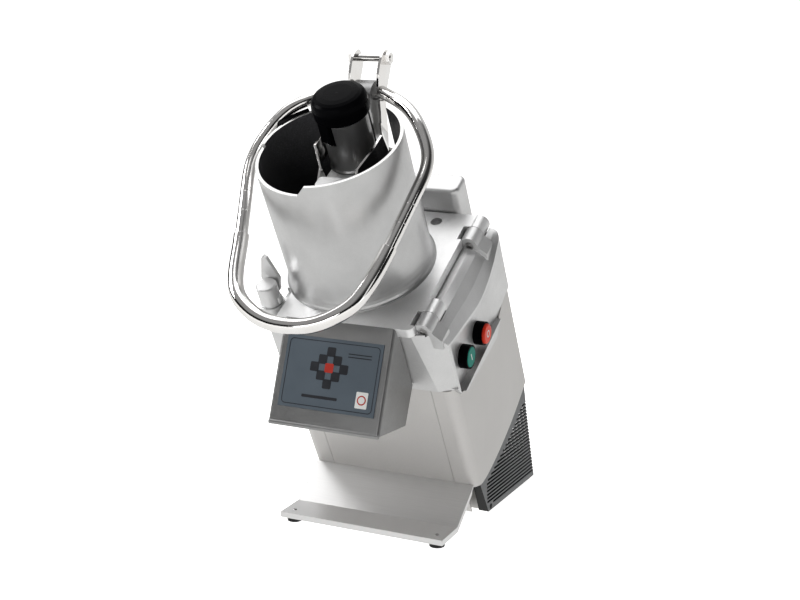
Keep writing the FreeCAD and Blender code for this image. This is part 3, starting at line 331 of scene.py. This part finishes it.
def rounded(width, height, radius, steps=6, centre=(0, 0)):
    """Outline of a rectangle with round corners, as (u, v) points."""
    points = []
    for side, end, start in ((1, 1, 0), (-1, 1, 90), (-1, -1, 180), (1, -1, 270)):
        for step in range(steps + 1):
            angle = math.radians(start + 90 * step / steps)
            points.append((centre[0] + side * (width / 2 - radius) + radius * math.cos(angle),
                           centre[1] + end * (height / 2 - radius) + radius * math.sin(angle)))
    return points


def circle(radius, steps=48, centre=(0, 0)):
    return [(centre[0] + radius * math.cos(2 * math.pi * i / steps),
             centre[1] + radius * math.sin(2 * math.pi * i / steps)) for i in range(steps)]


def inlay(name, shapes, surface, height, body, slot, finish):
    """Thin raised print: each shape is (outline, hole or None) on surface(u, v, out), in mm."""
    bm = bmesh.new()
    for outline, hole in shapes:
        tops, feet = [], []
        for loop in (outline, hole) if hole else (outline,):
            tops.append([bm.verts.new(surface(u, v, height)) for u, v in loop])
            feet.append([bm.verts.new(surface(u, v, 0.0)) for u, v in loop])
        for top, foot in zip(tops, feet):
            count = len(top)
            for i in range(count):
                j = (i + 1) % count
                bm.faces.new((top[i], foot[i], foot[j], top[j]))
        if hole:
            for level in (tops, feet):
                count = len(level[0])
                for i in range(count):
                    j = (i + 1) % count
                    bm.faces.new((level[0][i], level[0][j], level[1][j], level[1][i]))
        else:
            bm.faces.new(tops[0])
            bm.faces.new(feet[0])
    bmesh.ops.recalc_face_normals(bm, faces=bm.faces)
    mesh = bpy.data.meshes.new(name)
    bm.to_mesh(mesh)
    bm.free()
    mesh_piece(name, mesh, body, finish)


# ---- printed plate on the hood ----

# The hood's slanted face runs from its top to its low edge; both are (y, z) of the leaning frame.
HOOD_TOP = (-7.0, 263.0)
HOOD_LOW = (-102.0, 183.5)
HEAD_X = -8.0
PLATE_FACE = 0.95
PLATE = ("feed_head", "label_foil")
PRINT_OUT, MIDDLE_OUT, BADGE_OUT, RING_OUT = 0.1, 0.12, 0.08, 0.16
DIE, DIE_ROUND, DIE_STEP = 11, 1.6, 9.4
DICE_U, DICE_V = -3, -8
BADGE_AT = (44, 24)
CORNER_STEPS = 4
hood_run = math.hypot(HOOD_LOW[0] - HOOD_TOP[0], HOOD_LOW[1] - HOOD_TOP[1])


def on_hood(u, v, out):
    """u across and v down from the middle of the hood's face, out of it, in millimetres."""
    t = 0.5 + v / hood_run
    dy, dz = HOOD_LOW[0] - HOOD_TOP[0], HOOD_LOW[1] - HOOD_TOP[1]
    lift = PLATE_FACE + out
    return at(HEAD_X + u, HOOD_TOP[0] + dy * t + dz / hood_run * lift,
              HOOD_TOP[1] + dz * t - dy / hood_run * lift)


def bar(width, height, radius, centre):
    return (rounded(width, height, radius, CORNER_STEPS, centre), None)


ink = moulded("print_ink", (0.02, 0.022, 0.028), rough=0.4, spread=0.1, texture=0.02, edge=0)
ink_red = moulded("print_red", (0.45, 0.035, 0.02), rough=0.4, spread=0.08, texture=0.02, edge=0)
ink_white = moulded("print_white", (0.75, 0.75, 0.73), rough=0.4, spread=0.03, texture=0.02, edge=0)

border = [(rounded(117, 77, 5), rounded(115.2, 75.2, 4.2))]
dice = []
for row in range(-1, 2):
    for column in range(-1, 2):
        if row or column:
            centre = ((column - row) * DIE_STEP + DICE_U, (column + row) * DIE_STEP + DICE_V)
            dice.append(bar(DIE, DIE, DIE_ROUND, centre))
middle_die = [bar(DIE, DIE, DIE_ROUND, (DICE_U, DICE_V))]
bars = [bar(46, 3.4, 1.2, (-10, 27)), bar(30, 1.2, 0.5, (34, -27)), bar(30, 1.2, 0.5, (34, -23.4))]
badge = [bar(15, 19, 1.2, BADGE_AT)]
badge_ring = [(circle(5.6, 40, BADGE_AT), circle(4.2, 40, BADGE_AT))]
for name, shapes, out, finish in (("plate_border", border, PRINT_OUT, ink),
                                  ("plate_dice", dice, PRINT_OUT, ink),
                                  ("plate_dice_middle", middle_die, MIDDLE_OUT, ink_red),
                                  ("plate_bars", bars, PRINT_OUT, ink),
                                  ("plate_badge", badge, BADGE_OUT, ink_white),
                                  ("plate_badge_ring", badge_ring, RING_OUT, ink_red)):
    inlay(name, shapes, on_hood, out, *PLATE, finish)


# ---- button marks ----

START_CAP = (52.0, 173.0, 120.0)
STOP_CAP = (101.0, 166.5, 123.0)
MARK_OUT = 0.12


def on_cap(y, z, face_x):
    return lambda u, v, out: at(face_x + out, y + u, z + v)


inlay("start_mark", [(rounded(1.9, 9.5, 0.6, 3), None)], on_cap(*START_CAP), MARK_OUT,
      "start", "green_plastic", ink_white)
inlay("stop_mark", [(circle(4.6), circle(2.9))], on_cap(*STOP_CAP), MARK_OUT,
      "stop", "red_plastic", ink_white)

# ---- studio ----
# The lens sees a white floor and room; the object is lit by the dimmer levels below.

FLOOR_SIZE, FLOOR_DROP = 60.0, 0.0002
FLOOR_GLOW = 0.80
FLOOR_FRONT, FLOOR_BACK = 1.0, 0.80
FLOOR_FADE = (-1.6, 0.2)
ROOM_FRONT, ROOM_BACK = 0.015, 0.55
ROOM_ABOVE = 0.30
ROOM_RIGHT = 0.14
# name, place, target, width and height in metres, and how brightly the face shines
LIGHTS = [("key", (-1.9, -0.7, 1.35), (0, 0, 0.3), (0.8, 1.0), 8.0),
          ("front", (-0.2, -2.3, 0.55), (0, 0, 0.25), (1.3, 0.5), 2.6),
          ("fill", (1.9, -0.9, 0.7), (0, 0, 0.3), (0.4, 1.2), 0.8),
          ("overhead", (-0.5, 0.35, 2.2), (0, 0, 0.3), (2.2, 2.2), 1.35)]


def plane(name, size, z):
    bm = bmesh.new()
    bmesh.ops.create_grid(bm, x_segments=1, y_segments=1, size=size / 2)
    mesh = bpy.data.meshes.new(name)
    bm.to_mesh(mesh)
    bm.free()
    piece = bpy.data.objects.new(name, mesh)
    piece.location = (0, 0, z)
    bpy.context.scene.collection.objects.link(piece)
    return piece


def only_seen(tree, seen, unseen, output):
    """Joins one shader for what the lens sees directly and another for light and reflections."""
    path = tree.nodes.new("ShaderNodeLightPath")
    choose = tree.nodes.new("ShaderNodeMixShader")
    tree.links.new(path.outputs["Is Camera Ray"], choose.inputs[0])
    tree.links.new(unseen, choose.inputs[1])
    tree.links.new(seen, choose.inputs[2])
    tree.links.new(choose.outputs[0], output)


floor = plane("studio_floor", FLOOR_SIZE, -FLOOR_DROP)
paper = Finish("floor_paper")
paper.set(Roughness=0.9, Specular_IOR_Level=0.0, Base_Color=(0.9, 0.9, 0.895, 1))
paper.set(Emission_Color=(1.0, 1.0, 0.995, 1), Emission_Strength=FLOOR_GLOW)
spot = paper.add("SeparateXYZ", {0: paper.coords.outputs["Object"]})
level = paper.span(spot.outputs["Y"], FLOOR_FRONT, FLOOR_BACK, *FLOOR_FADE)
bounce = paper.add("Emission", {"Color": (1, 1, 0.99, 1), "Strength": level})
only_seen(paper.tree, paper.shader.outputs[0], bounce.outputs[0],
          paper.tree.nodes["Material Output"].inputs["Surface"])
floor.data.materials.append(paper.material)


def softbox(name, place, target, size, glow):
    """Rectangular light whose face shines at a given level."""
    light = bpy.data.lights.new(name, "AREA")
    light.shape = "RECTANGLE"
    light.size, light.size_y = size
    light.energy = glow * math.pi * size[0] * size[1]
    lamp = bpy.data.objects.new(name, light)
    lamp.location = place
    lamp.rotation_mode = "QUATERNION"
    lamp.rotation_quaternion = (Vector(target) - Vector(place)).to_track_quat("-Z", "Y")
    bpy.context.scene.collection.objects.link(lamp)


for row in LIGHTS:
    softbox(*row)

world = bpy.data.worlds.new("studio")
bpy.context.scene.world = world
world.use_nodes = True
sky = world.node_tree
room = sky.nodes["Background"]
aim = sky.nodes.new("ShaderNodeTexCoord")
way = sky.nodes.new("ShaderNodeSeparateXYZ")
sky.links.new(aim.outputs["Generated"], way.inputs[0])


def ramp(socket, start, stop, low, high):
    node = sky.nodes.new("ShaderNodeMapRange")
    node.interpolation_type = "SMOOTHSTEP"
    for key, value in (("From Min", start), ("From Max", stop), ("To Min", low), ("To Max", high)):
        node.inputs[key].default_value = value
    sky.links.new(socket, node.inputs["Value"])
    return node.outputs["Result"]


def sky_math(operation, first, second):
    node = sky.nodes.new("ShaderNodeMath")
    node.operation = operation
    sky.links.new(first, node.inputs[0])
    sky.links.new(second, node.inputs[1])
    return node.outputs[0]


behind = ramp(way.outputs["Y"], 0.1, 0.7, ROOM_FRONT, ROOM_BACK)
above = ramp(way.outputs["Z"], 0.22, 0.5, 0.0, ROOM_ABOVE)
sideways = ramp(way.outputs["X"], 0.15, 0.65, 1.0, ROOM_RIGHT)
glow = sky_math("MAXIMUM", behind, sky_math("MULTIPLY", above, sideways))
sky.links.new(glow, room.inputs["Strength"])
room.inputs["Color"].default_value = (1, 1, 1, 1)
white = sky.nodes.new("ShaderNodeBackground")
white.inputs["Strength"].default_value = 1.0
white.inputs["Color"].default_value = (1, 1, 1, 1)
only_seen(sky, white.outputs[0], room.outputs[0], sky.nodes["World Output"].inputs["Surface"])

bpy.context.scene.view_settings.view_transform = "Standard"
bpy.context.scene.view_settings.look = "Medium High Contrast"

# ---- camera ----

# Place in millimetres from the machine's own origin, and the directions of the frame's right side
# and of the way from the object to the lens.
CAMERA_PLACE = Vector((696.5, -1517.9, 634.6))
CAMERA_RIGHT = Vector((0.90943, 0.41573, 0.01019))
CAMERA_TOWARD = Vector((0.40456, -0.89014, 0.20974))
SENSOR_WIDTH, LENS = 36.0, 61.78

camera_top = CAMERA_TOWARD.cross(CAMERA_RIGHT).normalized()
camera_data = bpy.data.cameras.new("camera")
camera_data.sensor_width = SENSOR_WIDTH
camera_data.lens = LENS
camera = bpy.data.objects.new("camera", camera_data)
camera_turn = Matrix((CAMERA_RIGHT, camera_top, CAMERA_TOWARD)).transposed().to_4x4()
camera.matrix_world = Matrix.Translation((CAMERA_PLACE - ORIGIN) / 1000) @ camera_turn
bpy.context.scene.collection.objects.link(camera)
bpy.context.scene.camera = camera
